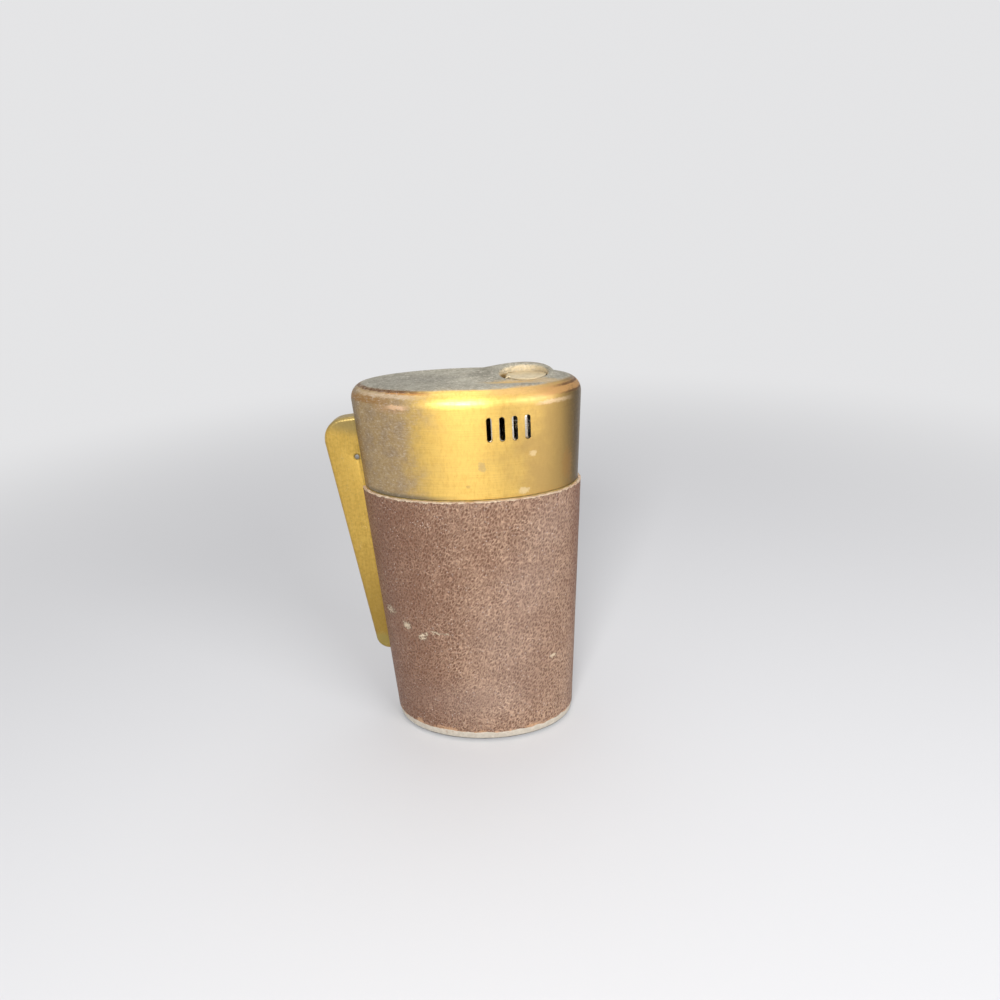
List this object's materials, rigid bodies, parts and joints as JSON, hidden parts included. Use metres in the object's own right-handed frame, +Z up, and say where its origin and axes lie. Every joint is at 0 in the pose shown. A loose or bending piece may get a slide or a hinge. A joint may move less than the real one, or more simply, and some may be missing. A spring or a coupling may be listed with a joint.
{
  "type": "catalytic hand warmer",
  "caption": "Tapered oval brass hand warmer in a leather wrap, with a pull-off vented cap, a catalytic burner and a squeeze lever that spins a flint wheel and opens the mouth's lid.",
  "frame": {"origin": "centre of the underside, on the surface that it stands on", "axes": "+Z up, -X towards the lever, -Y towards the front with the vent slots that the picture shows"},
  "size_m": [0.0704, 0.0342, 0.1094],
  "materials": {
    "cap_brass": "brushed, tarnished",
    "case_brass": "satin",
    "lever_brass": "satin",
    "small_brass": "satin",
    "hide": "pebbled, worn at the edges",
    "rim_metal": "dull nickel, dented",
    "tank_tin": "tinned sheet",
    "nickel": "nickelled sheet",
    "steel": "plain steel",
    "hard_steel": "hardened, filed",
    "flint_metal": "matte",
    "cotton": "loose cotton",
    "catalyst": "fibrous",
    "seal_rubber": "matte"
  },
  "bodies": {
    "root": {"case_shell": "case_brass", "leather_wrap": "hide", "base_rim": "rim_metal", "base_plate": "rim_metal", "cap_collar": "case_brass", "pivot_pin": "steel", "pivot_sleeve": "small_brass", "pivot_bracket": "steel", "return_spring": "steel", "spring_seat": "steel", "wave_washers": "small_brass", "chassis": "steel", "guide_pins": "steel", "chassis_screws": "steel", "flint_tube": "small_brass", "flint": "flint_metal", "tank_shell": "tank_tin", "tank_top": "tank_tin", "tank_wadding": "cotton", "burner_neck": "small_brass", "wick_plug": "cotton", "burner_cup": "nickel", "catalyst_mat": "catalyst", "burner_cage": "nickel", "burner_gauze": "steel", "filler_bush": "small_brass"},
    "lever": {"lever": "lever_brass", "link_pin": "steel"},
    "yoke": {"rack_yoke": "steel"},
    "igniter": {"spark_wheel": "hard_steel", "pinions": "small_brass", "igniter_axle": "steel", "axle_clips": "steel"},
    "cap": {"cap_shell": "cap_brass", "wind_shield": "nickel", "lid_pin": "steel"},
    "lid": {"chimney_lid": "small_brass"},
    "filler_seal": {"filler_washer": "seal_rubber"},
    "filler": {"filler_plug": "small_brass"},
    "flint_stop": {"flint_screw": "small_brass"},
    "flint_feed": {"flint_spring": "steel"}
  },
  "joints": [
    {"name": "lever_squeeze", "type": "hinge", "parent": "root", "child": "lever", "pos_m": [-0.0234, 0, 0.028], "axis": [0, 1, 0], "range_deg": [0, 7.5], "stiffness_Nm_per_rad": 0.8, "springref_deg": -3.44, "deforming": ["return_spring"]},
    {"name": "yoke_slide", "type": "slide", "parent": "root", "child": "yoke", "axis": [1, 0, 0], "range_m": [0, 0.00765]},
    {"name": "igniter_spin", "type": "hinge", "parent": "root", "child": "igniter", "pos_m": [-0.0035, 0, 0.0885], "axis": [0, 1, 0], "range_deg": [-110, 0]},
    {"name": "cap_lift", "type": "slide", "parent": "root", "child": "cap", "axis": [0, 0, 1], "range_m": [0, 0.05]},
    {"name": "lid_swing", "type": "hinge", "parent": "cap", "child": "lid", "pos_m": [0.0118, 0, 0.10615], "axis": [0, -1, 0], "range_deg": [0, 54]},
    {"name": "filler_travel", "type": "slide", "parent": "root", "child": "filler_seal", "axis": [0, 0, -1], "range_m": [0, 0.007]},
    {"name": "filler_turn", "type": "hinge", "parent": "filler_seal", "child": "filler", "pos_m": [0.013, 0, 0], "axis": [0, 0, -1], "range_deg": [0, 2521]},
    {"name": "flint_travel", "type": "slide", "parent": "root", "child": "flint_feed", "axis": [0, 0, -1], "range_m": [0, 0.008]},
    {"name": "flint_turn", "type": "hinge", "parent": "flint_feed", "child": "flint_stop", "pos_m": [-0.0035, 0, 0], "axis": [0, 0, -1], "range_deg": [0, 5761]}
  ],
  "couplings": [
    {"joint": "yoke_slide", "follows": "lever_squeeze", "m_per_rad": 0.058333},
    {"joint": "igniter_spin", "follows": "lever_squeeze", "ratio": -14.583},
    {"joint": "lid_swing", "follows": "lever_squeeze", "ratio": 7.1943},
    {"joint": "filler_turn", "follows": "filler_travel", "rad_per_m": 6283.2},
    {"joint": "flint_turn", "follows": "flint_travel", "rad_per_m": 12566}
  ]
}
